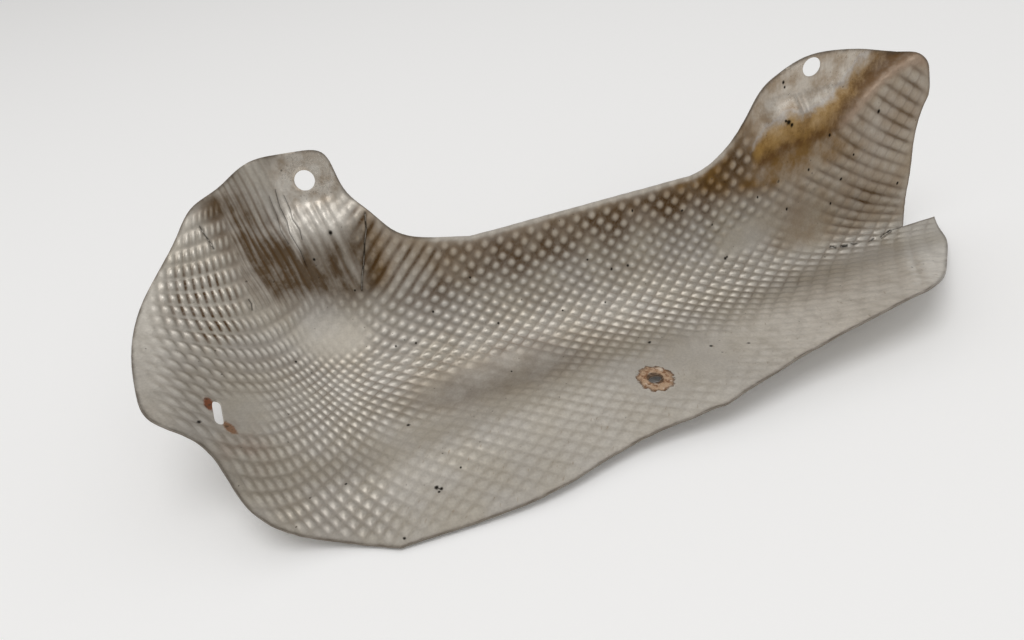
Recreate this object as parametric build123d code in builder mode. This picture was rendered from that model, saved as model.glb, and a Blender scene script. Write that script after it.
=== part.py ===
"""Exhaust heat shield: one thin aluminium sheet, drawn into a trough round the pipe.

The sheet has a tall back wall with two bolt ears, a rounded valley under the pipe, a front
flange that rises to the right, and one closed end on the left. Its hollow side faces up and
to the front. The drawn face is the sheet's inner face, and the metal lies behind it.

X runs along the trough, Y to the back and Z up. Lengths are millimetres, angles degrees.
"""

import os
from math import cos, exp, radians, sin, tan

from build123d import *

# Overall sheet: from the left rim to the right edge, and from the wall's foot to the front edge
sheet_length = 399.0
trough_depth = 115.0
sheet_thickness = 0.8

# Press
press_tilt = 50.0
punch_reach = 200.0
punch_left_margin = 23.5
punch_right_margin = 18.5
punch_front_margin = 18.0
punch_front_rise = 86.0
punch_front_low_x = -60.0
punch_top_q = 143.0
punch_top_drop = 0.012
punch_top_drop_x = -140.0
stations = 32
station_points = 18
blank_reach = 250.0
pierce_reach = 5.0
draw_reach = 300.0
draw_halvings = 40
touch_span = 0.5
mesh_tolerance = 0.1

# Back wall: its foot line, and how far it leans back
wall_foot_y = 40.0
wall_lean = 8.0
wall_twist_per_mm = -0.064
top_edge_height = 59.0

# Valley between the wall and the floor, tight at the open right end
valley_width = 46.0
valley_width_right = 22.0
valley_y = 26.0
valley_z = -2.2
valley_rise_right = 2.4
valley_change_length = 130.0
valley_change_inset = 27.5

# Floor and front flange
front_z = 0.9
front_rise = 36.0
front_rise_inset = 7.5
front_rise_power = 2.1
front_rise_round = 0.2
floor_sweep_power = 1.35

# Low ridge between the floor and the flange, fading to the right
ridge_height = 4.5
ridge_width = 16.0
ridge_y = -8.0
ridge_skew = 0.19
ridge_fade_start_x = -90.0
ridge_fade_end_x = 80.0

# Closed left end and its flared rim
end_foot_x = -162.0
end_tilt = 29.0
end_skew = 0.15
end_corner_width = 70.0
flare_x = -190.0
flare_z = 52.0
flare_tilt = 48.0
flare_width = 14.0

# Ears, each with a flat bolt seat set back from the wall
seat_setback = 6.0
seat_step = 16.0
ear_hole_diameter = 9.5
left_ear_x = -114.5
left_ear_z = 98.5
left_seat_left = 9.5
left_seat_right = 24.5
left_seat_below = 7.0
left_seat_fade = 22.0
left_ear_run = 68.0
right_ear_inset = 61.5
right_ear_z = 101.0
right_ear_run = 68.0
right_seat_left = 18.0
right_seat_right = 22.0
right_seat_below = 9.0
right_seat_slope = 1.25

# Front hole and left end slot
front_hole_diameter = 6.0
front_hole_x = 10.5
front_hole_q = -19.5
slot_length = 12.0
slot_width = 4.5
slot_turn = 79.0
slot_x = -177.0
slot_q = 24.0

# Places of the trimmed edge on the press plane
rim_x = -201.5
rim_q = 33.0
rim_rise = 76.0
rim_drop = 62.0
left_tip_x = -119.0
front_trim = 0.875
front_edge_rise = 31.5
right_tip_inset = 67.0
notch_inset = 9.0
notch_q = 26.5
tongue_length = 21.0

# Places that follow from the sizes above
right_edge_x = rim_x + sheet_length
right_ear_x = right_edge_x - right_ear_inset
right_tip_x = right_edge_x - right_tip_inset
notch_x = right_edge_x - notch_inset
valley_change_end_x = right_edge_x - valley_change_inset
valley_change_start_x = valley_change_end_x - valley_change_length
front_rise_length = right_tip_x - left_tip_x - front_rise_inset
front_y = wall_foot_y - trough_depth
punch_left_x = rim_x - punch_left_margin
punch_right_x = right_edge_x + punch_right_margin

SIN_PRESS = sin(radians(press_tilt))
COS_PRESS = cos(radians(press_tilt))
PRESS = Plane((0, 0, 0), x_dir=(1, 0, 0), z_dir=(0, -COS_PRESS, SIN_PRESS))


def ease(value, start, end):
    """0 before start, 1 after end, with a smooth run between."""
    share = min(max((value - start) / (end - start), 0.0), 1.0)
    return share * share * (3 - 2 * share)


def round_min(a, b, width):
    """The smaller of two clearances, with a rounded change between them."""
    return min(a, b) - max(width - abs(a - b), 0.0) ** 2 / (4 * width)


def round_max(a, b, width):
    """The larger of two clearances, with a rounded change between them."""
    return -round_min(-a, -b, width)


def seat_depth(x, z):
    """How far the wall is set back at the two bolt seats."""
    left = ease(x, left_ear_x - left_seat_left - seat_step, left_ear_x - left_seat_left)
    left *= 1 - ease(x, left_ear_x + left_seat_right, left_ear_x + left_seat_right + left_seat_fade)
    left *= ease(z, left_ear_z - left_seat_below - seat_step, left_ear_z - left_seat_below)
    slant = x - right_ear_x - right_seat_slope * (z - right_ear_z + seat_step)
    right = ease(x, right_ear_x - 2 * right_seat_left, right_ear_x - right_seat_left)
    right *= ease(z, right_ear_z - right_seat_below - seat_step, right_ear_z - right_seat_below)
    right *= 1 - ease(slant, right_seat_right, right_seat_right + seat_step)
    return seat_setback * (left + right)


def wall_y(x, z):
    """Place of the back wall's inner face."""
    lean = radians(wall_lean + wall_twist_per_mm * x)
    return wall_foot_y + z * tan(lean) + seat_depth(x, z)


def floor_z(x, y):
    """Height of the floor, its ridge and the front flange."""
    change = ease(x, valley_change_start_x, valley_change_end_x)
    root = valley_z + valley_rise_right * change
    run = max((x - left_tip_x) / front_rise_length, 0.0)
    run = round_min(run, 1.0, front_rise_round)
    front = front_z + front_rise * run**front_rise_power
    share = max((valley_y - y) / (valley_y - front_y), 0.0)
    ridge = ridge_height * (1 - ease(x, ridge_fade_start_x, ridge_fade_end_x))
    ridge *= exp(-(((y - ridge_y - ridge_skew * x) / ridge_width) ** 2))
    return root + (front - root) * share**floor_sweep_power + ridge


def end_clearance(x, y, z):
    """Distance to the closed end, which flares out towards its rim."""
    foot = end_foot_x + end_skew * y
    flare = flare_x + end_skew * y
    wall = (x - foot) * cos(radians(end_tilt)) + z * sin(radians(end_tilt))
    rim = (x - flare) * cos(radians(flare_tilt)) + (z - flare_z) * sin(radians(flare_tilt))
    return round_max(wall, rim, flare_width)


def clearance(x, y, z):
    """Distance into the hollow from the drawn face, below zero inside the metal."""
    lean = radians(wall_lean + wall_twist_per_mm * x)
    back = (wall_y(x, z) - y) * cos(lean)
    walls = round_min(back, end_clearance(x, y, z), end_corner_width)
    change = ease(x, valley_change_start_x, valley_change_end_x)
    valley = valley_width + (valley_width_right - valley_width) * change
    return round_min(walls, z - floor_z(x, y), valley)


def drawn_point(p, q):
    """Point of the drawn face over the press plane's (p, q)."""
    low, high = -draw_reach, draw_reach
    for _ in range(draw_halvings):
        h = (low + high) / 2
        if clearance(p, q * SIN_PRESS - h * COS_PRESS, q * COS_PRESS + h * SIN_PRESS) > 0:
            high = h
        else:
            low = h
    return Vector(p, q * SIN_PRESS - h * COS_PRESS, q * COS_PRESS + h * SIN_PRESS)


def face_plane(p, q):
    """Plane that touches the drawn face over (p, q), facing into the hollow."""
    across = drawn_point(p + touch_span, q) - drawn_point(p - touch_span, q)
    upward = drawn_point(p, q + touch_span) - drawn_point(p, q - touch_span)
    return Plane(drawn_point(p, q), x_dir=across, z_dir=across.cross(upward))


def press_q(y, z):
    """Place up the press plane of a point."""
    return y * SIN_PRESS + z * COS_PRESS


left_ear_q = press_q(wall_y(left_ear_x, left_ear_z), left_ear_z)
right_ear_q = press_q(wall_y(right_ear_x, right_ear_z), right_ear_z)
top_edge_q = press_q(wall_y(0, top_edge_height), top_edge_height)
left_tip_q = press_q(front_y, front_z) + front_trim
right_tip_q = left_tip_q + front_edge_rise


def left_ear(dx, dq):
    return (left_ear_x + dx, left_ear_q + dq)


def right_ear(dx, dq):
    return (right_ear_x + dx, right_ear_q + dq)


def rim(dx, dq):
    return (rim_x + dx, rim_q + dq)


def front_edge(share, bow):
    """Place on the front edge between its tips, and how far it bows out there."""
    return (left_tip_x + share * (right_tip_x - left_tip_x), left_tip_q + share * front_edge_rise - bow)


top_edge_start = (left_ear_x + left_ear_run, top_edge_q + 2)
top_edge_end = (right_ear_x - right_ear_run, top_edge_q - 1.5)
right_corner = (right_edge_x, right_ear_q - 25)
notch = (notch_x, notch_q)
tongue_corner = (notch_x + tongue_length, notch_q + 0.5)
right_tip = (right_tip_x, right_tip_q)
left_tip = (left_tip_x, left_tip_q)

with BuildPart() as blank:
    with BuildSketch(PRESS) as outline:
        with BuildLine():
            Spline(
                left_tip,
                (left_tip_x - 25, left_tip_q + 11.5),
                rim(35, -rim_drop),
                rim(22, -32),
                rim(14.5, -20),
                rim(4, -12),
                rim(0.5, 0),
                rim(0, 23),
                rim(6.5, 47),
                rim(26.5, rim_rise),
                left_ear(-53, -1.5),
                left_ear(-38.5, 4.2),
                left_ear(-14, 12.5),
                left_ear(2, 11),
                left_ear(11.5, 7.5),
                left_ear(15.7, -6),
                left_ear(24.7, -20.2),
                left_ear(32.3, -30.5),
                left_ear(47.5, -37.7),
                top_edge_start,
            )
            Line(top_edge_start, top_edge_end)
            Spline(
                top_edge_end,
                right_ear(-53, -22.5),
                right_ear(-44, -17.7),
                right_ear(-34, -9),
                right_ear(-25.5, -2.3),
                right_ear(-13, 2.7),
                right_ear(1, 3.7),
                right_ear(12, 2.7),
                right_ear(36, -2.6),
                right_ear(50, -8.4),
                right_ear(58.5, -15.8),
                right_corner,
            )
            Spline(
                right_corner,
                (right_edge_x - 4, notch_q + 30),
                (right_edge_x - 3, notch_q + 21),
                (right_edge_x - 4, notch_q + 11),
                notch,
            )
            Line(notch, tongue_corner)
            Spline(
                tongue_corner,
                (notch_x + tongue_length - 8.5, notch_q - 14),
                (notch_x + tongue_length - 25.5, notch_q - 26.5),
                (right_tip_x + 29, right_tip_q + 10.5),
                (right_tip_x + 12, right_tip_q + 2.7),
                right_tip,
            )
            Spline(
                right_tip,
                front_edge(0.91, 0.1),
                front_edge(0.74, 1.8),
                front_edge(0.58, 5.2),
                front_edge(0.42, 3.3),
                front_edge(0.26, 6.8),
                front_edge(0.13, 4.6),
                left_tip,
            )
        make_face()
    extrude(amount=blank_reach, both=True)

# Punch that the sheet is drawn over, filling the hollow
shares = [j / (station_points - 1) for j in range(station_points)]
to_open_side = Vector(-COS_PRESS, SIN_PRESS) * punch_reach


def punch_profile(x):
    """Points of the drawn face at one station, from past the front edge to past the top."""
    run = (x - punch_front_low_x) / (punch_right_x - punch_front_low_x)
    front = left_tip_q - punch_front_margin + punch_front_rise * run**2
    top = punch_top_q - punch_top_drop * max(punch_top_drop_x - x, 0.0) ** 2
    points = [drawn_point(x, front + (top - front) * share) for share in shares]
    return [Vector(point.Y, point.Z) for point in points]


with BuildPart() as punch:
    for i in range(stations):
        x = punch_left_x + (punch_right_x - punch_left_x) * i / (stations - 1)
        profile = punch_profile(x)
        front, top = profile[0], profile[-1]
        with BuildSketch(Plane.YZ.offset(x)):
            with BuildLine():
                add(Edge.make_spline(profile, parameters=shares))
                Polyline(top, top + to_open_side, front + to_open_side, front)
            make_face()
    loft()

drawn_face = punch.faces().sort_by(Axis((0, 0, 0), PRESS.z_dir))[0]
trimmed_face = drawn_face.intersect(blank.part).sort_by(SortBy.AREA)[-1]

with BuildPart() as formed:
    thicken(trimmed_face, amount=sheet_thickness)
    for p, q, diameter in (
        (left_ear_x, left_ear_q, ear_hole_diameter),
        (right_ear_x, right_ear_q, ear_hole_diameter),
        (front_hole_x, front_hole_q, front_hole_diameter),
    ):
        with BuildSketch(face_plane(p, q)):
            Circle(diameter / 2)
        extrude(amount=pierce_reach, both=True, mode=Mode.SUBTRACT)
    with BuildSketch(face_plane(slot_x, slot_q)):
        SlotOverall(slot_length, slot_width, rotation=slot_turn)
    extrude(amount=pierce_reach, both=True, mode=Mode.SUBTRACT)

# Origin at the bottom centre of the sheet as it lies
corners = formed.part.tessellate(mesh_tolerance)[0]
mid_x = (min(corner.X for corner in corners) + max(corner.X for corner in corners)) / 2
mid_y = (min(corner.Y for corner in corners) + max(corner.Y for corner in corners)) / 2
lowest = min(corner.Z for corner in corners)

with BuildPart() as heat_shield:
    with Locations((-mid_x, -mid_y, -lowest)):
        add(formed.part)

heat_shield.part.label = "heat_shield"
os.makedirs("parts", exist_ok=True)
export_step(heat_shield.part, "parts/heat_shield.step")
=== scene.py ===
"""Looks of the exhaust heat shield: a dimpled, worn aluminium sheet, lying on a pale floor.

The sheet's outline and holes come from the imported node. Its drawn form is stated here again as a
formula, so that the dimples, flutes, cracks and stains can be laid on it in the press plane, where
p runs along the trough and q up the wall. Lengths are millimetres until the mesh is made.
"""

import bpy
import numpy as np
from mathutils import Matrix, Vector, geometry, kdtree


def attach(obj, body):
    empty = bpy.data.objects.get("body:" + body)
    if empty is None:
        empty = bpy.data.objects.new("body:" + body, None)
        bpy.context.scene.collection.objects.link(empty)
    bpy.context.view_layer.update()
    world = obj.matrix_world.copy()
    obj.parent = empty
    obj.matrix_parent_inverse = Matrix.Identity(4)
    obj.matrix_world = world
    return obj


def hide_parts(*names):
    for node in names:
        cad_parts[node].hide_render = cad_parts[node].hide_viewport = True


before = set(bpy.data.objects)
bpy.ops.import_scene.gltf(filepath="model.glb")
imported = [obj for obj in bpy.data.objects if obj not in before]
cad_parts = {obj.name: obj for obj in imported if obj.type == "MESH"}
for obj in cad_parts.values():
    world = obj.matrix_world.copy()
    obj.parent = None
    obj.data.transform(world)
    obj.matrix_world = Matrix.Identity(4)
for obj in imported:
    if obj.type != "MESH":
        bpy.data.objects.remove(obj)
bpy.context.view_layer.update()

# Sheet and press
THICKNESS = 0.8
SIN_PRESS = np.sin(np.radians(50.0))
COS_PRESS = np.cos(np.radians(50.0))
UP_PRESS = np.array([0.0, SIN_PRESS, COS_PRESS])
ORIGIN_SHIFT = np.array([-3.5357, -1.8404, 1.0206])

# Mesh spacing, inner and outer face
INNER_GRID = 0.86
OUTER_GRID = 1.9

# Relief, and how much of it shows on the outer face
BUMP_HEIGHT = 1.05
FLUTE_HEIGHT = 0.8
OUTER_RELIEF = 0.85

# Distance in noise space that keeps the outer face's marks unlike the inner's
BACK_NOISE = 40.0


# Small helpers
def ease(value, start, end):
    """0 before start, 1 after end, smooth between; start may be the larger."""
    share = np.clip((value - start) / (end - start), 0.0, 1.0)
    return share * share * (3 - 2 * share)


def round_min(a, b, width):
    return np.minimum(a, b) - np.maximum(width - np.abs(a - b), 0.0) ** 2 / (4 * width)


def mix(a, b, share):
    return a + (b - a) * np.clip(share, 0.0, 1.0)


def blob(p, q, at_p, at_q, half_p, half_q, turn=0.0, soft=0.45):
    """1 inside a turned ellipse, falling softly to 0 past its edge."""
    c, s = np.cos(np.radians(turn)), np.sin(np.radians(turn))
    along = ((p - at_p) * c + (q - at_q) * s) / half_p
    across = (-(p - at_p) * s + (q - at_q) * c) / half_q
    return ease(np.hypot(along, across), 1 + soft, 1 - soft)


def band(value, low, high, soft):
    """1 between low and high, falling to 0 within soft."""
    return ease(value, low - soft, low) * ease(value, high + soft, high)


def hash01(i, j, seed):
    """Repeatable numbers from 0 to 1 on an integer grid."""
    i, j = i.astype(np.int64), j.astype(np.int64)
    n = (i * 374761393 + j * 668265263 + seed * 974634777) & 0xFFFFFFFF
    n = ((n ^ (n >> 13)) * 1274126177) & 0xFFFFFFFF
    n = ((n ^ (n >> 16)) * 2246822519) & 0xFFFFFFFF
    return ((n ^ (n >> 15)) & 0xFFFFFF) / float(0xFFFFFF)


def noise(p, q, size, seed):
    """Smooth noise from 0 to 1 with features about as large as size."""
    x, y = p / size, q / size
    i, j = np.floor(x), np.floor(y)
    u, v = x - i, y - j
    u, v = u * u * (3 - 2 * u), v * v * (3 - 2 * v)
    low = hash01(i, j, seed) * (1 - u) + hash01(i + 1, j, seed) * u
    high = hash01(i, j + 1, seed) * (1 - u) + hash01(i + 1, j + 1, seed) * u
    return low * (1 - v) + high * v


# Drawn form of the sheet's inner face
def seat_depth(x, z):
    left = ease(x, -140.0, -124.0) * (1 - ease(x, -90.0, -68.0)) * ease(z, 75.5, 91.5)
    slant = x - 136.0 - 1.25 * (z - 101.0 + 16.0)
    right = ease(x, 100.0, 118.0) * ease(z, 76.0, 92.0) * (1 - ease(slant, 22.0, 38.0))
    return 6.0 * (left + right)


def floor_z(x, y):
    change = ease(x, 40.0, 170.0)
    root = -2.2 + 2.4 * change
    run = round_min(np.maximum((x + 119.0) / 242.0, 0.0), 1.0, 0.2)
    front = 0.9 + 36.0 * np.maximum(run, 0.0) ** 2.1
    share = np.maximum((26.0 - y) / 101.0, 0.0)
    ridge = 4.5 * (1 - ease(x, -90.0, 80.0)) * np.exp(-(((y + 8.0 - 0.19 * x) / 16.0) ** 2))
    return root + (front - root) * share**1.35 + ridge


def end_clearance(x, y, z):
    tilt, flare = np.radians(29.0), np.radians(48.0)
    wall = (x + 162.0 - 0.15 * y) * np.cos(tilt) + z * np.sin(tilt)
    rim = (x + 190.0 - 0.15 * y) * np.cos(flare) + (z - 52.0) * np.sin(flare)
    return -round_min(-wall, -rim, 14.0)


def clearance(x, y, z):
    """Distance into the hollow from the drawn face, below zero in the metal and behind it."""
    lean = np.radians(8.0 - 0.064 * x)
    back = (40.0 + z * np.tan(lean) + seat_depth(x, z) - y) * np.cos(lean)
    walls = round_min(back, end_clearance(x, y, z), 70.0)
    valley = 46.0 - 24.0 * ease(x, 40.0, 170.0)
    return round_min(walls, z - floor_z(x, y), valley)


def form_point(p, q):
    """Points of the drawn face over the press plane's (p, q)."""
    low, high = np.full(p.shape, -300.0), np.full(p.shape, 300.0)
    for _ in range(34):
        h = (low + high) / 2
        free = clearance(p, q * SIN_PRESS - h * COS_PRESS, q * COS_PRESS + h * SIN_PRESS) > 0
        high, low = np.where(free, h, high), np.where(free, low, h)
    return np.stack([p, q * SIN_PRESS - h * COS_PRESS, q * COS_PRESS + h * SIN_PRESS], -1)


def form_normal(at):
    step = 0.4
    sides = []
    for axis in range(3):
        d = np.zeros(3)
        d[axis] = step
        sides.append(clearance(*(at + d).T) - clearance(*(at - d).T))
    n = np.stack(sides, -1)
    return n / np.linalg.norm(n, axis=-1)[:, None]


# Rows of the embossed blank, bent by the draw: two dimple phases and the flutes under the left ear
def phases(p, q):
    slid = p + 0.22 * (q - 95.0) + 1.6 * (noise(p, q, 15.0, 47) - 0.5)
    turns = np.log(np.maximum(1.85 + 0.072 * (slid + 155.0), 1.3)) / 0.072
    warp = 0.12 * (noise(p, q, 9.0, 5) - 0.5)
    tight = 0.4 * np.exp(-(((p + 138.0) / 40.0) ** 2) - ((q - 30.0) / 32.0) ** 2)
    p, q = p + (p + 138.0) * tight, q + (q - 30.0) * tight
    x, v = p / 100.0, (q - 30.0) / 50.0
    left, right = np.minimum(p + 90.0, 0.0) / 100.0, np.maximum(p - 60.0, 0.0) / 100.0
    one = 0.249 + 12.375 * x + 9.125 * v - 0.527 * v**2 + 0.817 * x * v - 0.625 * v**3
    one += left**2 * (-12.95 - 12.875 * v - 2.365 * v**2) - left**3 * (2.566 + 11.818 * v)
    one += right**2 * (-2.458 + 1.629 * v)
    two = -0.261 + 11.792 * x - 8.046 * v - 0.036 * v**2 + 0.511 * x * v + 0.064 * v**3
    two += left**2 * (-2.937 + 8.172 * v) + left**3 * (-10.129 + 8.466 * v)
    two += right**2 * (-0.389 + 0.693 * v)
    return one + warp, two - warp, turns


# Places in the press plane
FRONT_HOLE = (10.5, -19.5)
SLOT = (-177.0, 24.0)
CREASE = [
    (148.0, 73.5), (156.0, 76.8), (164.0, 81.5), (172.0, 85.3),
    (180.0, 87.3), (188.0, 87.0), (195.0, 84.5),
]

# Heat stain: its lower edge and its width, each at places along p
STAIN_FOOT = (
    [98.0, 106.0, 122.0, 146.0, 152.0],
    [67.0, 67.5, 70.0, 71.5, 74.5],
)
STAIN_WIDTH = (
    [96.0, 108.0, 121.0, 134.0, 150.0, 165.0, 180.0, 197.0],
    [7.0, 15.0, 16.5, 14.0, 18.5, 19.5, 17.0, 9.0],
)

# Cracks as lines of (p, q), with half width and depth
CRACKS = [
    (
        [(-92.0, 98.0), (-93.5, 91.5), (-95.8, 87.0), (-98.6, 80.0), (-101.6, 74.0), (-103.4, 69.0)],
        0.7,
        1.0,
    ),
    ([(-165.2, 110.0), (-164.4, 106.5), (-163.6, 104.5), (-162.3, 100.0)], 0.55, 0.8),
    ([(-154.2, 75.5), (-153.6, 73.5), (-154.0, 71.0)], 0.5, 0.7),
    ([(143.3, 27.2), (145.5, 26.0)], 0.9, 0.9),
    ([(149.5, 25.6), (151.8, 25.2)], 1.2, 1.0),
    ([(155.0, 25.4), (157.8, 24.6)], 0.8, 0.8),
    ([(165.5, 23.6), (168.5, 24.4)], 0.8, 0.8),
    ([(173.0, 23.9), (176.0, 25.0), (179.8, 25.9)], 1.1, 1.0),
    ([(179.8, 25.9), (184.0, 26.3), (188.0, 26.6)], 0.5, 0.6),
    (
        [(-128.5, 118.5), (-128.8, 112.0), (-127.6, 104.5)]
        + [(-127.9, 99.0), (-125.6, 91.0), (-125.0, 84.5)],
        0.35,
        0.6,
    ),
    (
        [(-125.5, 116.0), (-124.6, 110.0), (-124.9, 105.0), (-123.0, 99.5), (-123.4, 95.0)],
        0.35,
        0.6,
    ),
    ([(-132.0, 116.0), (-131.2, 108.0), (-131.5, 101.0), (-129.8, 95.0)], 0.3, 0.4),
]

# Dark specks and pits: p, q, size
SPECKS = [
    (-98.3, -36.6, 1.2), (-96.6, -37.8, 1.0), (-97.9, -38.9, 0.8), (-101.1, -1.3, 1.0),
    (-116.5, -53.2, 0.8), (82.0, 36.3, 1.0), (83.2, 36.8, 0.7), (21.9, 2.3, 1.0),
    (57.8, -17.5, 0.9), (20.3, 46.8, 0.8), (29.0, 46.2, 0.8), (12.0, 32.0, 0.6),
    (35.8, 67.8, 0.7), (-51.0, 61.3, 0.6), (-95.3, 41.0, 0.7), (-85.5, 39.8, 0.7),
    (-43.5, 37.6, 0.8), (-10.3, 34.4, 0.6), (121.2, 81.0, 1.4), (122.8, 79.6, 1.0),
    (119.8, 81.8, 0.8), (121.3, 97.5, 0.8), (122.0, 95.8, 0.6), (143.5, 72.0, 0.8),
    (170.0, 74.5, 0.9), (187.0, 47.0, 0.8), (121.0, 50.0, 0.8), (-109.8, 94.6, 1.2),
    (-106.5, 70.0, 0.6), (-120.7, 86.4, 0.8), (-142.2, 44.5, 0.7), (-133.5, -22.8, 0.8),
    (-183.7, 20.0, 0.9), (9.0, 54.0, 0.6), (62.0, 62.0, 0.7), (-45.8, 11.2, 0.6),
    (-73.0, 51.7, 0.7), (-86.0, -31.2, 0.6), (44.5, -11.0, 0.9), (78.0, 52.8, 0.6),
    (152.0, 55.0, 0.8), (158.0, 62.5, 0.6), (147.0, 47.0, 0.7), (104.0, 58.0, 0.6),
    (133.0, 62.0, 0.7),
]


def stroke_distance(p, q, line):
    """Distance from points to a bent line."""
    best = np.full(p.shape, 1e9)
    for (ax, ay), (bx, by) in zip(line[:-1], line[1:]):
        dx, dy = bx - ax, by - ay
        t = np.clip(((p - ax) * dx + (q - ay) * dy) / (dx * dx + dy * dy), 0.0, 1.0)
        best = np.minimum(best, np.hypot(p - ax - t * dx, q - ay - t * dy))
    return best


def crease_q(p):
    points = np.array(CREASE)
    return np.interp(p, points[:, 0], points[:, 1], left=73.5)


def regions(p, q):
    """How smooth, fluted, rowed or ironed flat each place is, each from 0 to 1."""
    found = {}
    left_pad = blob(p, q, -113.0, 122.0, 16.0, 14.0, soft=0.25)
    above_crease = ease(q, crease_q(p) - 1.0, crease_q(p) + 3.0)
    right_pad = above_crease * ease(p, 94.0, 106.0) * ease(q, 73.0, 78.0)
    smooth = np.maximum(left_pad, right_pad)
    for spot in (
        (-123.0, 53.0, 19.0, 12.0, -8.0, 0.4),
        (-57.0, 11.0, 40.0, 11.5, 0.0, 0.3),
        (97.0, 43.5, 22.0, 7.0, 6.0, 0.5),
        (132.0, 40.0, 14.0, 12.0, 0.0, 0.5),
        (124.0, 66.0, 24.0, 6.0, 0.0, 0.5),
        (12.0, -19.0, 15.0, 13.0, 0.0, 0.3),
        (36.0, -14.0, 16.0, 16.0, 0.0, 0.4),
        (-169.0, 22.0, 12.0, 12.0, 0.0, 0.4),
    ):
        smooth = np.maximum(smooth, 0.9 * blob(p, q, *spot[:4], turn=spot[4], soft=spot[5]))
    found["smooth"] = np.maximum(smooth, 0.8 * ease(p, -184.0, -199.0))
    ironed = ease(q, 3.0 - 0.04 * p, -8.0 - 0.04 * p) * ease(p, -128.0, -108.0)
    found["ironed"] = np.maximum(ironed, 0.75 * ease(q, 25.0, 14.0) * ease(p, 110.0, 150.0))
    found["flutes"] = ease(p, -160.0, -150.0) * ease(p, -97.0, -104.0) * ease(q, 62.0, 76.0)
    found["two_rows"] = ease(p, -103.0, -96.0) * ease(p, -58.0, -72.0) * ease(q, 58.0, 68.0)
    found["one_rows"] = ease(p, 96.0, 130.0) * ease(q, 26.0, 36.0)
    found["columns"] = ease(p, -150.0, -160.0) * ease(q, 30.0, 50.0)
    found["beads"] = ease(q, 26.0, 50.0) * ease(p, 140.0, 110.0)
    return found


def relief(p, q, rim):
    """Height of the embossing towards the hollow side."""
    r = regions(p, q)
    one, two, turns = phases(p, q)
    c1, c2 = np.abs(np.cos(np.pi * one)), np.abs(np.cos(np.pi * two))
    shape = mix((c1 * c2 + 0.02) ** 0.8, (c1 * c2) ** 1.15, r["beads"])
    shape = mix(shape, c1**1.1 * (0.45 + 0.55 * c2), 0.6 * r["one_rows"])
    shape = mix(shape, c2**1.1 * (0.7 + 0.3 * c1), 0.95 * r["two_rows"])
    strength = 0.75 + 0.5 * noise(p, q, 26.0, 31)
    amount = BUMP_HEIGHT * strength * (1 - r["smooth"]) * (1 - 0.5 * r["ironed"])
    amount = amount * (0.25 + 0.75 * ease(rim, 1.0, 6.0)) * (1 - 0.7 * r["flutes"])
    amount = amount * (1 - 0.55 * r["one_rows"] * ease(noise(p, q, 17.0, 37), 0.45, 0.7))
    amount = amount * (1 + 0.6 * r["columns"] * blob(p, q, -173.0, 74.0, 16.0, 26.0, soft=0.5))
    height = amount * shape

    # Long flutes where the wall turns the corner under the left ear
    flute = np.abs(np.cos(np.pi * turns)) ** 1.2
    fade = r["flutes"] * (1 - 0.9 * blob(p, q, -112.0, 125.0, 17.0, 16.0, soft=0.15))
    fade = fade * (0.4 + 0.6 * ease(q, 126.0, 102.0)) * (0.35 + 0.65 * ease(p, -146.0, -116.0))
    height = height + FLUTE_HEIGHT * fade * flute

    # Crease that bounds the right ear's seat, and the fold across the seat
    crease = np.exp(-((stroke_distance(p, q, CREASE) / 1.5) ** 2))
    height = height + 0.9 * crease * ease(p, 147.0, 156.0)
    fold = stroke_distance(p, q, [(128.5, 92.0), (130.0, 84.0), (131.0, 74.0)])
    height = height + 0.8 * np.exp(-((fold / 5.0) ** 2)) - 1.0 * np.exp(-((fold / 1.6) ** 2))

    # Dents, the crumpled rim and the kinked front edge
    height = height + 0.6 * (noise(p, q, 34.0, 3) - 0.5)
    height = height + 0.35 * (noise(p, q, 13.0, 8) - 0.5) * (1 - r["smooth"])
    crumple = ease(p, -142.0, -152.0) * ease(rim, 9.0, 0.0) * ease(q, 84.0, 100.0)
    height = height + 1.5 * crumple * (noise(p, q, 6.5, 71) - 0.5)
    nick = np.exp(-(((p - 26.0) / 5.0) ** 2)) * ease(rim, 6.0, 0.0) * ease(q, -30.0, -38.0)
    height = height - 1.3 * nick
    height = height + 0.6 * (noise(p, q, 11.0, 91) - 0.5) * ease(rim, 8.0, 0.0)
    kink = blob(p, q, 42.0, -6.0, 6.0, 12.0, turn=-25.0, soft=0.6)
    height = height - 0.9 * kink * (1 - 0.5 * np.abs(np.cos((p - 0.5 * q) * 0.5)))

    # Crusted rust on the washer mark
    away = np.hypot(p - FRONT_HOLE[0] - 0.3, q - FRONT_HOLE[1] - 0.3)
    return height + ease(away, 8.4, 7.2) * (0.15 + 0.4 * noise(p, q, 1.9, 15))


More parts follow.
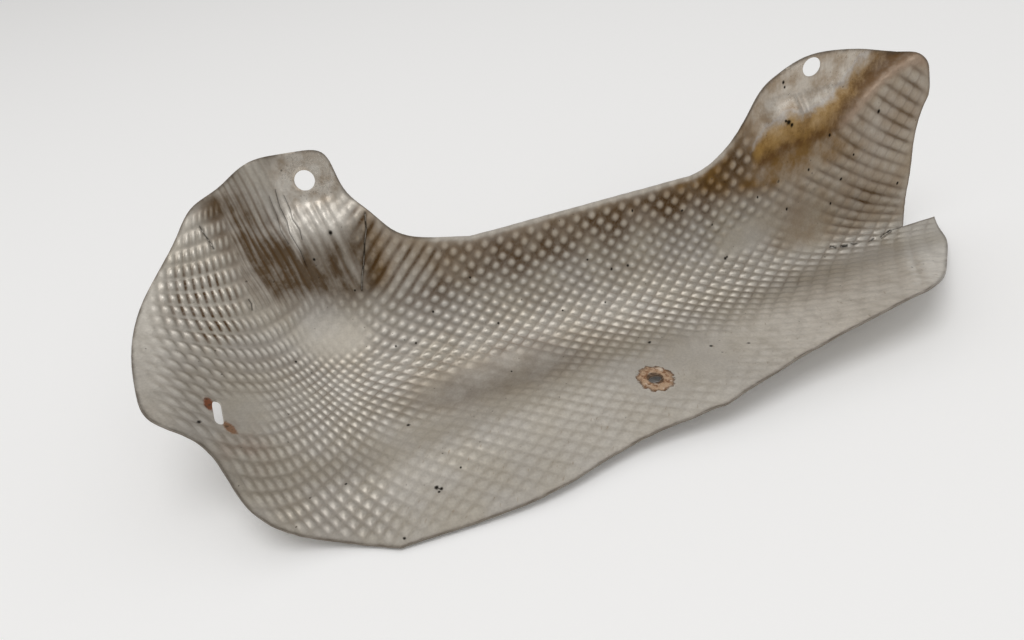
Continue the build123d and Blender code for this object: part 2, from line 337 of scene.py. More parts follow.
def marks(p, q, rim):
    """Fields that the sheet's material reads, each from 0 to about 1."""
    r = regions(p, q)
    out = {}
    edge = ease(rim, 0.8, 5.0)
    bumps = (1 - r["smooth"]) * (1 - 0.45 * r["ironed"]) * (0.3 + 0.7 * edge)
    bumps = bumps * (1 - 0.7 * ease(p, 130.0, 155.0) * ease(q, 26.0, 18.0))
    out["bumps"] = bumps * (1 - r["flutes"])
    out["beads"] = r["beads"]
    out["one_rows"] = r["one_rows"]
    out["two_rows"] = r["two_rows"]
    out["columns"] = r["columns"] * blob(p, q, -173.0, 74.0, 15.0, 24.0, soft=0.5)
    out["flutes"] = r["flutes"] * (1 - 0.95 * blob(p, q, -112.0, 125.0, 16.0, 14.0, soft=0.2))
    out["ironed"] = r["ironed"]

    # Soot and painted shade in the grooves, and brown film over all
    wall = ease(q, 44.0, 66.0) * ease(p, -100.0, -84.0) * ease(p, 128.0, 112.0)
    corner = ease(p, -160.0, -148.0) * ease(p, -84.0, -96.0)
    corner = corner * ease(q, 62.0, 80.0) * ease(q, 116.0, 98.0)
    brow = blob(p, q, -147.0, 108.0, 13.0, 21.0, soft=0.6)
    end = blob(p, q, -172.0, 76.0, 12.0, 15.0, soft=0.7)
    right_up = r["one_rows"] * band(q, 62.0, 82.0, 10.0) * ease(p, 120.0, 140.0)
    right_low = r["one_rows"] * blob(p, q, 166.0, 42.0, 22.0, 9.0, soft=0.7)
    # The base level and the band over the valley darken all grooves as painted shade
    soot_and_shade = 0.3 - 0.18 * r["ironed"] + 0.18 * band(q, 14.0, 44.0, 8.0)
    soot_and_shade = soot_and_shade + 0.6 * wall + 0.7 * corner + 0.7 * brow + 1.2 * end
    soot_and_shade = soot_and_shade + 0.4 * right_up + 0.6 * right_low
    out["soot_and_shade"] = np.clip(soot_and_shade, 0.0, 1.1)
    foot = blob(p, q, 112.0, 70.0, 38.0, 8.0, soft=0.7)
    ear = blob(p, q, -96.0, 84.0, 20.0, 15.0, soft=0.6)
    top = ease(q, 52.0, 72.0) * ease(p, -84.0, -66.0) * ease(p, 130.0, 112.0)
    top = top * (0.6 + 0.4 * ease(p, -10.0, 90.0))
    low_left = blob(p, q, -150.0, -36.0, 22.0, 14.0, turn=-35.0, soft=0.8)
    film = 0.85 * top + 0.5 * corner + 0.5 * brow + 0.85 * foot + 0.6 * ear
    film = film + 0.55 * r["one_rows"] + 0.2 * low_left
    for smudge in (
        (-143, 112, 6, 14),
        (-158, 118, 9, 6),
        (-136, 84, 12, 11),
        (-108, 74, 15, 9),
        (-118, 131, 14, 5),
    ):
        film = film + 0.6 * blob(p, q, *smudge, soft=0.7)
    trodden = blob(p, q, -50.0, 12.0, 54.0, 13.0, soft=0.5)
    film = film + 0.55 * trodden
    out["grime"] = np.maximum(ease(p, -84.0, -100.0), trodden)
    out["film"] = np.clip(film, 0.0, 1.0)

    # Pale metal, mostly painted light: on the bowl, a flute, the left rim, the seat shelves and the
    # right flange
    wall_rim = ease(q, 48.0, 54.0) * ease(p, -74.0, -60.0) * ease(p, 96.0, 84.0)
    pale = 0.15 * blob(p, q, -120.0, 53.0, 22.0, 8.0, soft=0.8)
    pale = np.maximum(pale, 0.95 * ease(p, 10.0, 90.0) * ease(q, 12.0, -4.0))
    pale = np.maximum(pale, 0.3 * ease(q, -8.0, -24.0) * ease(p, -70.0, -20.0))
    pale = np.maximum(pale, 1.0 * blob(p, q, -111.0, 101.0, 15.0, 8.0, soft=0.7))
    pale = np.maximum(pale, 1.0 * blob(p, q, -126.0, 101.0, 2.4, 11.0, turn=-4.0, soft=0.6))
    pale = np.maximum(pale, 0.9 * ease(rim, 2.4, 0.6) * wall_rim)
    pale = np.maximum(pale, 0.75 * ease(p, -184.0, -196.0))
    pale = np.maximum(pale, 0.9 * blob(p, q, 118.5, 90.0, 8.0, 5.0, turn=15.0, soft=0.7))
    pale = np.maximum(pale, 0.9 * blob(p, q, 143.0, 88.5, 11.0, 3.2, turn=25.0, soft=0.7))
    out["pale"] = pale
    left_pad = blob(p, q, -112.0, 122.0, 17.0, 14.0, soft=0.3)
    above_crease = ease(q, crease_q(p) + 0.5, crease_q(p) + 4.0)
    right_pad = above_crease * ease(p, 92.0, 108.0) * ease(q, 74.0, 79.0)
    out["pad"] = np.maximum(left_pad, right_pad)

    # Heat stain over the crease, as a height above its lower edge in shares of its width
    low_edge = np.interp(p, *STAIN_FOOT)
    low_edge = np.maximum(low_edge, np.where(p > 150.0, crease_q(p) - 0.5, 0.0))
    share = (q - low_edge) / np.interp(p, *STAIN_WIDTH)
    inside_ends = ease(p, 97.0, 108.0) * ease(p, 203.0, 194.0)
    out["stain"] = np.clip(1.2 - np.abs(share - 0.42) * 1.9, 0.0, 1.0) * inside_ends
    out["stain_top"] = np.clip(share, 0.0, 1.0)
    out["crease"] = np.exp(-((stroke_distance(p, q, CREASE) / 2.0) ** 2)) * ease(p, 146.0, 154.0)

    # Rust
    away = np.hypot(p - FRONT_HOLE[0] - 0.3, q - FRONT_HOLE[1] - 0.3)
    out["ring"] = np.clip(1.5 - away / 8.0, 0.0, 1.2) * (away < 14)
    out["slot_red"] = blob(p, q, SLOT[0] - 2.7, SLOT[1] + 4.4, 1.6, 3.4, turn=10.0, soft=0.8)
    out["slot_tan"] = blob(p, q, SLOT[0] + 3.2, SLOT[1] - 7.8, 1.6, 4.0, turn=30.0, soft=0.8)
    out["run"] = blob(p, q, -170.0, 6.0, 7.0, 12.0, turn=15.0, soft=0.8)
    dark = np.zeros(len(p))
    for line, half, depth in CRACKS:
        drawn = ease(stroke_distance(p, q, line), half, 0.35 * half)
        dark = np.maximum(dark, drawn * min(1.0, depth + 0.1))
    for at_p, at_q, size in SPECKS:
        dark = np.maximum(dark, ease(np.hypot(p - at_p, (q - at_q) * 1.1), size, 0.45 * size))
    out["dark"] = dark
    out["edge"] = ease(rim, 1.2, 0.0) * (1 - 0.85 * wall_rim)
    return out


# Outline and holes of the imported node's inner face
def loops_of(node):
    mesh = node.data
    mesh.calc_loop_triangles()
    at = np.zeros(len(mesh.vertices) * 3)
    mesh.vertices.foreach_get("co", at)
    at = at.reshape(-1, 3) * 1000.0
    at = at - ORIGIN_SHIFT
    tri = np.zeros(len(mesh.loop_triangles) * 3, int)
    mesh.loop_triangles.foreach_get("vertices", tri)
    tri = tri.reshape(-1, 3)

    # The CAD faces share no points, so each is a patch of its own; the inner one faces up most
    patch, before = np.arange(len(at)), None
    while before is None or (patch != before).any():
        before = patch.copy()
        np.minimum.at(patch, tri.ravel(), np.repeat(before[tri].min(1), 3))
        patch = patch[patch]
    up = np.cross(at[tri[:, 1]] - at[tri[:, 0]], at[tri[:, 2]] - at[tri[:, 0]])[:, 2]
    tri = tri[patch[tri[:, 0]] == np.bincount(patch[tri[:, 0]], weights=up).argmax()]
    pairs = np.concatenate([tri[:, [0, 1]], tri[:, [1, 2]], tri[:, [2, 0]]])
    have = {(int(a), int(b)) for a, b in pairs if a != b}
    after = {a: b for a, b in sorted(have) if (b, a) not in have}
    found = []
    while after:
        start = min(after)
        loop, here = [start], after.pop(start)
        while here != start and here in after:
            loop.append(here)
            here = after.pop(here)
        found.append(at[loop])
    return found


def flat_of(at):
    """Press-plane places of points in space."""
    return np.stack([at[:, 0], at @ UP_PRESS], -1)


def even_loop(loop, step):
    """The loop with long sides split and very short ones joined."""
    kept = [loop[0]]
    for point in loop[1:]:
        if np.linalg.norm(point - kept[-1]) > 0.35 * step:
            kept.append(point)
    if np.linalg.norm(kept[0] - kept[-1]) < 0.35 * step:
        kept.pop()
    out = []
    for a, b in zip(kept, kept[1:] + kept[:1]):
        parts = max(1, int(np.ceil(np.linalg.norm(b - a) / step)))
        out.extend(a + (b - a) * k / parts for k in range(parts))
    return np.array(out)


def inside(points, loop):
    """Which points lie inside a closed loop."""
    odd = np.zeros(len(points), bool)
    ax, ay = loop[:, 0], loop[:, 1]
    bx, by = np.roll(ax, -1), np.roll(ay, -1)
    for k in range(len(loop)):
        if ay[k] != by[k]:
            crosses = (ay[k] > points[:, 1]) != (by[k] > points[:, 1])
            where = ax[k] + (points[:, 1] - ay[k]) * (bx[k] - ax[k]) / (by[k] - ay[k])
            odd ^= crosses & (points[:, 0] < where)
    return odd


def tree_of(points):
    tree = kdtree.KDTree(len(points))
    for k, point in enumerate(points):
        tree.insert((point[0], point[1], 0.0), k)
    tree.balance()
    return tree


def gaps_to(points, tree):
    return np.array([tree.find((x, y, 0.0))[2] for x, y in points])


loops = [l for l in loops_of(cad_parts["heat_shield"]) if len(l) > 8]
loops.sort(key=lambda l: -np.ptp(l[:, 0]))
border = [even_loop(loops[0], 1.1)] + [even_loop(l, 0.6) for l in loops[1:]]
border_space = np.concatenate(border)
border_flat = flat_of(border_space)
border_count = len(border_flat)
outline = flat_of(border[0])
holes = [flat_of(l) for l in border[1:]]
loop_number = np.repeat(np.arange(len(border)), [len(l) for l in border])
border_edges = []
for loop in border:
    first = len(border_edges)
    border_edges += [(first + k, first + (k + 1) % len(loop)) for k in range(len(loop))]
border_tree = tree_of(border_flat)
outline_tree = tree_of(outline)


def within_sheet(points):
    keep = inside(points, outline)
    for hole in holes:
        keep &= ~inside(points, hole)
    return keep


def skin(spacing, extra):
    """Triangles over the sheet in the press plane; its first points are the border's."""
    step = spacing * np.sqrt(3) / 2
    low, high = outline.min(0), outline.max(0)
    rows = []
    for k in range(int((high[1] - low[1]) / step) + 2):
        along = np.arange(low[0] + (k % 2) * spacing / 2, high[0] + spacing, spacing)
        rows.append(np.stack([along, np.full(len(along), low[1] + k * step)], -1))
    grid = np.concatenate(rows)
    grid = grid[within_sheet(grid)]
    grid = grid[gaps_to(grid, border_tree) > 0.55 * min(spacing, 1.0)]
    flat = border_flat
    if len(extra):
        extra = extra[within_sheet(extra)]
        extra = extra[gaps_to(extra, border_tree) > 0.3]
        grid = grid[gaps_to(grid, tree_of(extra)) > 0.42]
        flat = np.concatenate([flat, extra])
    flat = np.concatenate([flat, grid])
    made = geometry.delaunay_2d_cdt([Vector(v) for v in flat], border_edges, [], 1, 1e-6)
    flat, tri = np.array([tuple(v) for v in made[0]]), np.array(made[2])

    # Triangles with all their corners on one hole's edge are the hole
    owner = np.zeros(len(flat), int)
    owner[:border_count] = loop_number
    first = owner[tri[:, 0]]
    tri = tri[(first == 0) | (owner[tri] != first[:, None]).any(1)]
    a, b, c = flat[tri[:, 0]], flat[tri[:, 1]], flat[tri[:, 2]]
    turned = (b - a)[:, 0] * (c - a)[:, 1] - (b - a)[:, 1] * (c - a)[:, 0] < 0
    tri[turned] = tri[turned][:, ::-1]
    return flat, tri


# Extra points that draw the cracks and specks sharply
extra = []
for line, half, depth in CRACKS:
    line = np.array(line)
    for a, b in zip(line[:-1], line[1:]):
        length = np.hypot(*(b - a))
        side = np.array([-(b - a)[1], (b - a)[0]]) / length
        for t in np.arange(0.0, length, 0.6):
            on = a + (b - a) * t / length
            extra += [on, on + side * half, on - side * half]
for at_p, at_q, size in SPECKS:
    extra.append(np.array([at_p, at_q]))
    for k in range(7):
        turn = 2 * np.pi * (k + 0.3 * noise(np.array([at_p + k]), np.array([at_q]), 1.0, 7)[0]) / 7
        for reach, angle in ((0.5 * size, turn), (1.1 * size, turn + 0.4)):
            extra.append(np.array([at_p + reach * np.cos(angle), at_q + reach * np.sin(angle)]))


def surface(flat, border_in_space):
    """Points of the drawn face, its normals and the relief over it."""
    body = form_point(flat[:, 0], flat[:, 1])
    body[:border_count] = border_in_space
    rim = gaps_to(flat, outline_tree)
    return body, form_normal(body), relief(flat[:, 0], flat[:, 1], rim), rim


flat_in, tri_in = skin(INNER_GRID, np.array(extra))
flat_out, tri_out = skin(OUTER_GRID, np.array([]))
body, facing, height, rim_in = surface(flat_in, border_space)
for line, half, depth in CRACKS:
    away = stroke_distance(flat_in[:, 0], flat_in[:, 1], line)
    height = height - depth * np.clip(1 - away / half, 0.0, 1.0)
inner = body + facing * height[:, None]
body, facing, height, rim_out = surface(flat_out, border_space)
outer = body + facing * (OUTER_RELIEF * height - THICKNESS)[:, None]

# One closed mesh: the inner face, the outer face and the cut edge between them
count = len(flat_in)
verts = (np.concatenate([inner, outer]) + ORIGIN_SHIFT) / 1000.0
faces = [tuple(t) for t in tri_in.tolist()]
faces += [tuple(t) for t in (tri_out[:, ::-1] + count).tolist()]
faces += [(y, x, x + count, y + count) for x, y in border_edges]
mesh = bpy.data.meshes.new("dimpled_sheet")
mesh.from_pydata(verts.tolist(), [], faces)
mesh.update()
mesh.polygons.foreach_set("use_smooth", np.ones(len(mesh.polygons), bool))
edge_ends = np.zeros(len(mesh.edges) * 2, int)
mesh.edges.foreach_get("vertices", edge_ends)
edge_ends = edge_ends.reshape(-1, 2)
on_border = np.zeros(len(verts), bool)
on_border[:border_count] = True
on_border[count : count + border_count] = True
sharp = mesh.attributes.new("sharp_edge", "BOOLEAN", "EDGE")
same_skin = (edge_ends[:, 0] < count) == (edge_ends[:, 1] < count)
sharp.data.foreach_set("value", on_border[edge_ends].all(1) & same_skin)
lowest = float(verts[:, 2].min())


# What the material reads at each point
def put(name, values):
    layer = mesh.attributes.new(name, "FLOAT", "POINT")
    layer.data.foreach_set("value", np.asarray(values, np.float32))


def put_vector(name, values):
    layer = mesh.attributes.new(name, "FLOAT_VECTOR", "POINT")
    layer.data.foreach_set("vector", np.asarray(values, np.float32).ravel())


seen_in = marks(flat_in[:, 0], flat_in[:, 1], rim_in)
seen_out = marks(flat_out[:, 0], flat_out[:, 1], rim_out)
for name in seen_in:
    put("sheet_" + name, np.concatenate([seen_in[name], seen_out[name]]))
put_vector("sheet_phase", np.concatenate([np.stack(phases(*f.T), -1) for f in (flat_in, flat_out)]))
on_back = np.concatenate([np.zeros(count), np.ones(len(flat_out))])
put_vector("sheet_place", np.c_[np.concatenate([flat_in, flat_out]), BACK_NOISE * on_back])
put("sheet_back", on_back)
sheet = bpy.data.objects.new("dimpled_sheet", mesh)
bpy.context.scene.collection.objects.link(sheet)

# Colours, as linear light
BARE = (0.465, 0.425, 0.36)
COOL = (0.485, 0.455, 0.41)
# Pale metal, also the colour of painted highlights
PALE = (0.74, 0.70, 0.635)
# Soot, also the colour of painted shade in the grooves
SOOT_AND_SHADE = (0.080, 0.041, 0.013)
FILM = (0.212, 0.118, 0.034)
GRIME = (0.112, 0.077, 0.046)
GOLD = (0.45, 0.275, 0.085)
BURNT = (0.135, 0.068, 0.022)
RUST = (0.19, 0.062, 0.024)
TAN = (0.46, 0.315, 0.205)
CRUST = (0.075, 0.042, 0.022)
CRUST_BROWN = (0.22, 0.11, 0.052)
CRUST_PALE = (0.62, 0.51, 0.40)
SLOT_BROWN = (0.23, 0.125, 0.066)
RUN = (0.26, 0.16, 0.115)
# Painted highlight on bump tops under the film
HIGHLIGHT_ON_FILM = (0.54, 0.44, 0.31)
BLUED = (0.47, 0.47, 0.49)
# Painted highlight on the crease's ridge
CREASE_HIGHLIGHT = (0.40, 0.30, 0.225)
EDGE_DARK = (0.10, 0.075, 0.052)
PIT = (0.05, 0.036, 0.025)
BLACK = (0.010, 0.008, 0.006)


class Graph:
    """Short names for building a material's nodes."""

    def __init__(self, mat):
        self.nodes, self.links = mat.node_tree.nodes, mat.node_tree.links

    def feed(self, socket, value):
        if isinstance(value, (int, float)):
            socket.default_value = value
        elif isinstance(value, tuple):
            opaque = len(value) == 3 and socket.type == "RGBA"
            socket.default_value = (*value, 1.0) if opaque else value
        else:
            self.links.new(value, socket)

    def math(self, kind, a, b=0.0, c=0.0):
        n = self.nodes.new("ShaderNodeMath")
        n.operation = kind
        for socket, value in zip(n.inputs, (a, b, c)):
            self.feed(socket, value)
        return n.outputs[0]

    def mul(self, a, b):
        return self.math("MULTIPLY", a, b)

    def add(self, a, b):
        return self.math("ADD", a, b)

    def less(self, a):
        """What a leaves of 1."""
        return self.math("SUBTRACT", 1.0, a)

    def most(self, a, b):
        return self.math("MAXIMUM", a, b)

    def shake(self, a, noise, amount):
        """Number a moved up and down by noise."""
        return self.math("MULTIPLY_ADD", self.math("SUBTRACT", noise, 0.5), amount, a)

    def clamp(self, a):
        n = self.nodes.new("ShaderNodeClamp")
        self.feed(n.inputs["Value"], a)
        return n.outputs[0]

    def step(self, a, low, high, to_low=0.0, to_high=1.0):
        n = self.nodes.new("ShaderNodeMapRange")
        n.interpolation_type = "SMOOTHSTEP"
        for socket, value in zip(n.inputs, (a, low, high, to_low, to_high)):
            self.feed(socket, value)
        return n.outputs[0]

    def blend(self, a, b, share):
        """Number a at share 0 and b at share 1."""
        n = self.nodes.new("ShaderNodeMix")
        self.feed(n.inputs[0], share)
        self.feed(n.inputs[2], a)
        self.feed(n.inputs[3], b)
        return n.outputs[0]

    def tint(self, a, b, share, kind="MIX"):
        """Colour a at share 0 and b at share 1."""
        n = self.nodes.new("ShaderNodeMix")
        n.data_type = "RGBA"
        n.blend_type = kind
        self.feed(n.inputs[0], share)
        self.feed(n.inputs[6], a)
        self.feed(n.inputs[7], b)
        return n.outputs[2]

    def read(self, name, output="Fac"):
        n = self.nodes.new("ShaderNodeAttribute")
        n.attribute_name = "sheet_" + name
        return n.outputs[output]

    def split(self, vector):
        n = self.nodes.new("ShaderNodeSeparateXYZ")
        self.feed(n.inputs[0], vector)
        return n.outputs

    def join(self, x, y):
        n = self.nodes.new("ShaderNodeCombineXYZ")
        self.feed(n.inputs[0], x)
        self.feed(n.inputs[1], y)
        return n.outputs[0]

    def grain(self, place, size, detail=3.0, rough=0.55, stretch=None, turn=0.0):
        """Noise with features about as large as size millimetres."""
        if stretch:
            m = self.nodes.new("ShaderNodeMapping")
            m.vector_type = "TEXTURE"
            m.inputs["Rotation"].default_value = (0.0, 0.0, turn)
            m.inputs["Scale"].default_value = stretch
            self.feed(m.inputs["Vector"], place)
            place = m.outputs[0]
        n = self.nodes.new("ShaderNodeTexNoise")
        n.inputs["Scale"].default_value = 1.0 / size
        n.inputs["Detail"].default_value = detail
        n.inputs["Roughness"].default_value = rough
        self.feed(n.inputs["Vector"], place)
        return n.outputs[0]


def sheet_material():
    mat = bpy.data.materials.new("worn_aluminium")
    mat.use_nodes = True
    g = Graph(mat)
    shader = g.nodes["Principled BSDF"]
    place = g.read("place", "Vector")
    phase = g.split(g.read("phase", "Vector"))
    front = g.less(g.read("back"))

    # Dimple, row and flute crests
    c1 = g.math("ABSOLUTE", g.math("COSINE", g.mul(phase[0], np.pi)))
    c2 = g.math("ABSOLUTE", g.math("COSINE", g.mul(phase[1], np.pi)))
    c3 = g.math("ABSOLUTE", g.math("COSINE", g.mul(phase[2], np.pi)))
    cell = g.mul(c1, c2)
    pillow = g.step(cell, 0.0, 0.45, 1.0, 0.0)
    bead = g.step(cell, 0.2, 0.95, 1.0, 0.0)
    groove = g.blend(pillow, bead, g.read("beads"))
    groove = g.blend(groove, g.step(c1, 0.05, 0.9, 1.0, 0.0), g.mul(g.read("one_rows"), 0.7))
    groove = g.blend(groove, g.step(c2, 0.1, 0.95, 1.0, 0.0), g.read("two_rows"))
    dash = g.mul(g.step(c1, 0.2, 0.85, 1.0, 0.0), g.step(c2, 0.1, 0.6, 0.25, 1.0))
    groove = g.mul(g.blend(groove, dash, g.read("columns")), g.read("bumps"))
    flute = g.mul(g.step(c3, 0.1, 0.9, 0.6, 0.0), g.read("flutes"))
    groove = g.most(groove, flute)

    # Bare metal, a little warmer and cooler from place to place
    cloud = g.grain(place, 30.0, 4.0)
    fine = g.grain(place, 1.1, 3.0, 0.65)
    colour = g.tint(BARE, COOL, g.step(cloud, 0.35, 0.65))
    # Painted light as pale metal, broken up by noise
    uneven = g.step(g.grain(place, 6.0), 0.25, 0.6, 0.4, 1.0)
    colour = g.tint(colour, PALE, g.mul(g.mul(g.read("pale"), front), uneven))

    # Seats at the ears: mottled
    mottle = g.grain(place, 8.0, 5.0, 0.62)
    pad = g.mul(g.read("pad"), front)
    seat = g.tint(PALE, FILM, g.step(mottle, 0.36, 0.7, 0.1, 0.75))
    colour = g.tint(colour, seat, g.mul(pad, 0.8))

    # Brown film, then soot and painted shade in the grooves
    patchy = g.grain(place, 11.0, 5.0, 0.6)
    film = g.mul(g.read("film"), g.step(patchy, 0.25, 0.7, 0.5, 1.15))
    # Less film where the painted highlights lie
    film = g.mul(film, g.less(g.mul(g.read("pale"), 0.8)))
    film = g.mul(g.blend(film, g.mul(film, 0.5), pad), g.blend(1.0, 0.35, g.read("back")))
    along = g.join(phase[2], g.mul(g.split(place)[1], 0.03))
    streak = g.step(g.grain(along, 1.5, 3.0), 0.32, 0.64, 0.5, 1.35)
    film = g.mul(film, g.blend(1.0, streak, g.read("flutes")))
    soil = g.tint(FILM, GRIME, g.read("grime"))
    colour = g.tint(colour, soil, g.clamp(g.mul(film, 0.9)))
    soot_and_shade = g.mul(g.read("soot_and_shade"), g.step(g.grain(place, 16.0, 4.0), 0.3, 0.65, 0.5, 1.15))
    soot_and_shade = g.mul(g.mul(soot_and_shade, groove), g.blend(1.0, 0.3, g.read("back")))
    # Less soot and painted shade where the painted highlights lie
    outside_pale = g.less(g.mul(g.read("pale"), 0.6))
    soot_and_shade = g.mul(soot_and_shade, g.mul(g.step(fine, 0.3, 0.6, 0.75, 1.0), outside_pale))
    colour = g.tint(colour, SOOT_AND_SHADE, g.clamp(g.mul(soot_and_shade, 0.95)))

    # Bright tops of the bumps: painted highlight
    bump_highlight = g.mul(g.step(cell, 0.6, 1.0), g.read("bumps"))
    bump_highlight = g.mul(bump_highlight, g.blend(1.0, 0.4, g.read("one_rows")))
    bump_highlight = g.mul(bump_highlight, g.less(g.mul(g.clamp(film), 0.45)))
    top = g.tint(PALE, HIGHLIGHT_ON_FILM, g.clamp(film))
    colour = g.tint(colour, top, g.mul(bump_highlight, g.blend(0.2, 0.36, g.read("beads"))))

    # Short scuffs on the ironed flange
    scuff = g.grain(place, 1.0, 2.0, 0.5, stretch=(3.6, 1.1, 1.0), turn=0.95)
    rubbed = g.mul(g.read("ironed"), g.step(g.grain(place, 18.0, 2.0), 0.4, 0.6, 0.25, 1.0))
    scuff = g.mul(g.step(scuff, 0.63, 0.74), rubbed)
    colour = g.tint(colour, FILM, g.mul(scuff, 0.4))

    # Heat stain: gold, burnt below and towards the tip, with a pale blue margin
    spread = g.shake(g.read("stain"), g.grain(place, 6.0, 5.0, 0.62), 1.3)
    near = g.step(g.read("stain"), 0.0, 0.12)
    stain = g.mul(g.mul(g.step(spread, 0.15, 0.85), near), front)
    edge_low = g.step(g.read("stain_top"), 0.0, 0.6, 0.8, 0.0)
    tip = g.step(g.split(place)[0], 140.0, 182.0, 0.0, 0.6)
    burn = g.add(g.step(g.grain(place, 9.0, 5.0, 0.7), 0.28, 0.72, 0.0, 0.75), g.add(edge_low, tip))
    warm = g.tint(GOLD, BURNT, g.clamp(burn))
    halo = g.mul(g.step(spread, 0.05, 0.3), g.less(stain))
    halo = g.mul(halo, g.step(g.read("stain_top"), 0.6, 0.95))
    colour = g.tint(colour, BLUED, g.mul(g.mul(halo, near), g.mul(front, 0.4)))
    depth = g.step(g.grain(place, 9.0, 5.0, 0.65), 0.3, 0.6, 0.7, 0.95)
    colour = g.tint(colour, warm, g.mul(stain, depth))
    # Pale line along the crease's ridge: painted highlight
    colour = g.tint(colour, CREASE_HIGHLIGHT, g.mul(g.mul(g.read("crease"), front), 0.75))

    # Rust at the front hole and the slot
    crumb = g.grain(place, 1.5, 4.0, 0.62)
    ring = g.shake(g.read("ring"), g.grain(place, 3.0, 4.0, 0.6), 0.6)
    brink = g.most(g.step(ring, 0.52, 0.72, 0.9, 0.0), g.step(g.read("ring"), 1.0, 1.1))
    ring = g.mul(g.step(ring, 0.48, 0.56), g.blend(1.0, 0.6, g.read("back")))
    crust = g.tint(TAN, CRUST_BROWN, g.step(g.grain(place, 2.6, 4.0, 0.65), 0.44, 0.6))
    crust = g.tint(crust, CRUST_PALE, g.step(g.grain(place, 4.2, 4.0, 0.65), 0.54, 0.66))
    crust = g.tint(crust, CRUST, g.mul(brink, g.step(crumb, 0.3, 0.6, 0.5, 1.0)))
    colour = g.tint(colour, crust, ring)
    red = g.step(g.shake(g.read("slot_red"), crumb, 0.8), 0.25, 0.75)
    brown = g.step(g.shake(g.read("slot_tan"), crumb, 0.9), 0.25, 0.8)
    colour = g.tint(colour, g.tint(RUST, CRUST, g.step(crumb, 0.5, 0.65)), red)
    colour = g.tint(colour, g.tint(SLOT_BROWN, CRUST, g.step(crumb, 0.52, 0.7)), brown)
    run = g.mul(g.mul(g.read("run"), front), g.step(patchy, 0.4, 0.65, 0.0, 0.5))
    colour = g.tint(colour, RUN, run)

    # Darker band along the cut edge, pits, specks and cracks
    edge_mottle = g.step(g.grain(place, 7.0), 0.3, 0.65, 0.45, 0.9)
    colour = g.tint(colour, EDGE_DARK, g.mul(g.read("edge"), edge_mottle))
    pits = g.step(g.grain(place, 2.3, 1.0, 0.5), 0.75, 0.81)
    colour = g.tint(colour, PIT, g.mul(pits, 0.7))
    dark = g.mul(g.read("dark"), front)
    colour = g.tint(colour, BLACK, dark)
    colour = g.tint(colour, g.step(fine, 0.3, 0.7, 0.92, 1.06), 1.0, "MULTIPLY")
    g.feed(shader.inputs["Base Color"], colour)

    # Soiled metal is rougher and less metallic
    soiled = g.add(g.mul(film, 0.55), g.mul(soot_and_shade, 0.8))
    soiled = g.clamp(g.add(soiled, g.add(g.mul(stain, 0.6), dark)))
    rusty = g.most(ring, g.most(red, brown))
    clear = g.less(dark)
    metal = g.mul(g.mul(g.blend(0.65, 0.12, soiled), g.blend(1.0, 0.12, rusty)), clear)
    metal = g.mul(metal, g.blend(1.0, 0.6, g.read("ironed")))
    g.feed(shader.inputs["Metallic"], metal)
    g.feed(shader.inputs["Specular IOR Level"], g.mul(g.blend(0.5, 0.06, soiled), clear))
    rough = g.add(g.step(cloud, 0.3, 0.7, 0.35, 0.43), g.step(fine, 0.3, 0.7, -0.03, 0.04))
    rough = g.blend(g.add(rough, g.mul(soiled, 0.16)), 0.85, rusty)
    rough = g.math("SUBTRACT", rough, g.mul(g.mul(pad, 0.1), g.less(stain)))
    g.feed(shader.inputs["Roughness"], rough)

    # Fine grain of the surface
    height = g.add(g.mul(fine, 0.5), g.mul(crumb, g.blend(0.3, 2.5, rusty)))
    bump = g.nodes.new("ShaderNodeBump")
    bump.inputs["Strength"].default_value = 0.3
    bump.inputs["Distance"].default_value = 0.00012
    g.feed(bump.inputs["Height"], height)
    g.feed(shader.inputs["Normal"], bump.outputs["Normal"])
    return mat


# Floor, in metres
FLOOR_HALF = 40.0
FLOOR_GLOW = 0.03
FLOOR_GAP = 0.0002


def floor_material():
    """Pale floor, lifted a little where it is seen straight or in a reflection."""
    mat = bpy.data.materials.new("pale_floor")
    mat.use_nodes = True
    g = Graph(mat)
    shader = g.nodes["Principled BSDF"]
    shader.inputs["Base Color"].default_value = (0.95, 0.95, 0.95, 1.0)
    shader.inputs["Roughness"].default_value = 0.9
    shader.inputs["Specular IOR Level"].default_value = 0.1
    ray = g.nodes.new("ShaderNodeLightPath").outputs
    mirrored = g.most(ray["Is Glossy Ray"], ray["Is Transmission Ray"])
    seen = g.most(ray["Is Camera Ray"], mirrored)
    shader.inputs["Emission Color"].default_value = (1.0, 0.985, 0.965, 1.0)
    g.feed(shader.inputs["Emission Strength"], g.mul(seen, FLOOR_GLOW))
    return mat


mesh.materials.append(sheet_material())
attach(sheet, "root")
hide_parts("heat_shield")

# Floor under the sheet
floor_mesh = bpy.data.meshes.new("floor")
corners = [(x * FLOOR_HALF, y * FLOOR_HALF, 0.0) for x, y in ((-1, -1), (1, -1), (1, 1), (-1, 1))]
floor_mesh.from_pydata(corners, [], [(0, 1, 2, 3)])
floor = bpy.data.objects.new("floor", floor_mesh)
floor.location.z = min(lowest, 0.0) - FLOOR_GAP
bpy.context.scene.collection.objects.link(floor)
floor_mesh.materials.append(floor_material())

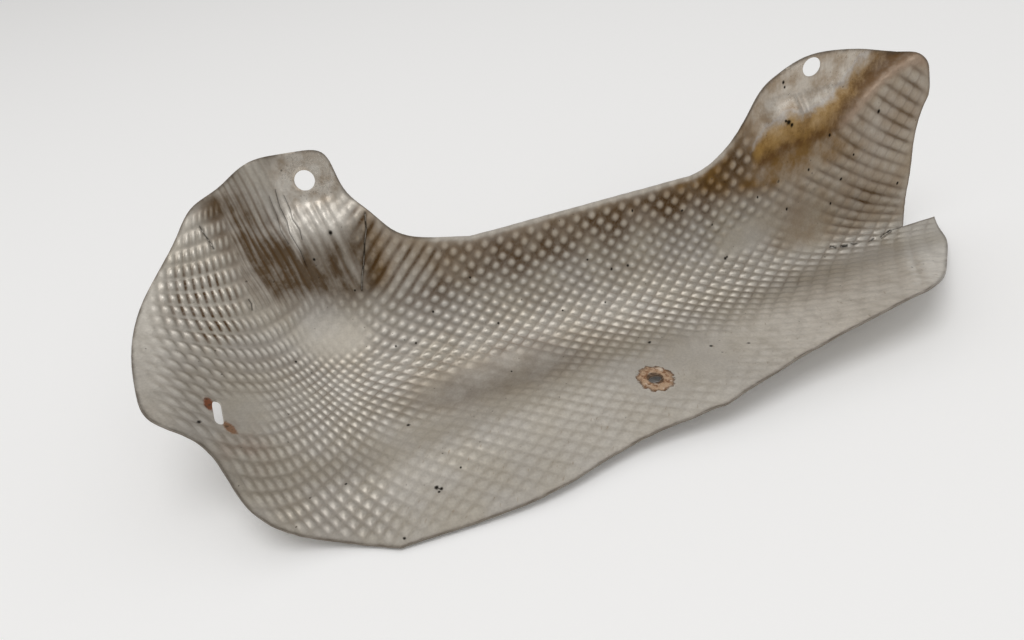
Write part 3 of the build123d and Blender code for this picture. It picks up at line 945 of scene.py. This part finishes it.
# Light: a pale room with a wide soft lamp overhead
HORIZON_LIGHT = 0.38
ZENITH_LIGHT = 0.70
world = bpy.data.worlds.new("room")
bpy.context.scene.world = world
world.use_nodes = True
nodes, links = world.node_tree.nodes, world.node_tree.links
nodes.clear()
out = nodes.new("ShaderNodeOutputWorld")
way = nodes.new("ShaderNodeTexCoord")
parts = nodes.new("ShaderNodeSeparateXYZ")
level = nodes.new("ShaderNodeMapRange")
level.inputs["From Min"].default_value = 0.0
level.inputs["From Max"].default_value = 1.0
level.inputs["To Min"].default_value = HORIZON_LIGHT
level.inputs["To Max"].default_value = ZENITH_LIGHT
room = nodes.new("ShaderNodeBackground")
room.inputs["Color"].default_value = (1.0, 0.99, 0.975, 1.0)
links.new(way.outputs["Generated"], parts.inputs["Vector"])
links.new(parts.outputs["Z"], level.inputs["Value"])
links.new(level.outputs["Result"], room.inputs["Strength"])
links.new(room.outputs["Background"], out.inputs["Surface"])


def soft_light(name, at, size, power):
    """Round lamp that faces the sheet."""
    data = bpy.data.lights.new(name, "AREA")
    data.shape = "DISK"
    data.size = size
    data.energy = power
    lamp = bpy.data.objects.new(name, data)
    lamp.location = at
    lamp.rotation_mode = "QUATERNION"
    lamp.rotation_quaternion = (-Vector(at)).to_track_quat("-Z", "Y")
    bpy.context.scene.collection.objects.link(lamp)


soft_light("ceiling", (-0.42, -0.48, 2.3), size=1.7, power=15.5)
soft_light("window", (0.37, -1.3, 1.04), size=0.9, power=1.4)

# Camera, as the photograph was taken
CAMERA_AT = np.array([-112.0, -315.5, 242.0])
CAMERA_RIGHT = Vector((0.943, -0.298, -0.147))
CAMERA_BACK = Vector((-0.178, -0.827, 0.534))
back = CAMERA_BACK.normalized()
right = (CAMERA_RIGHT - back * CAMERA_RIGHT.dot(back)).normalized()
up = back.cross(right)
lens = bpy.data.cameras.new("camera")
lens.sensor_width = 36.0
lens.lens = 29.88
lens.clip_start = 0.01
lens.clip_end = 50.0
camera = bpy.data.objects.new("camera", lens)
at = (CAMERA_AT + ORIGIN_SHIFT) / 1000.0
turn = Matrix((right, up, back)).transposed().to_4x4()
camera.matrix_world = Matrix.Translation(Vector(at)) @ turn
bpy.context.scene.collection.objects.link(camera)
bpy.context.scene.camera = camera
bpy.context.scene.view_settings.view_transform = "Standard"

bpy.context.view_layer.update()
triangles = sum(len(poly.vertices) - 2 for poly in mesh.polygons)
print("triangles", triangles, "points", count, len(flat_out), "holes", len(holes))
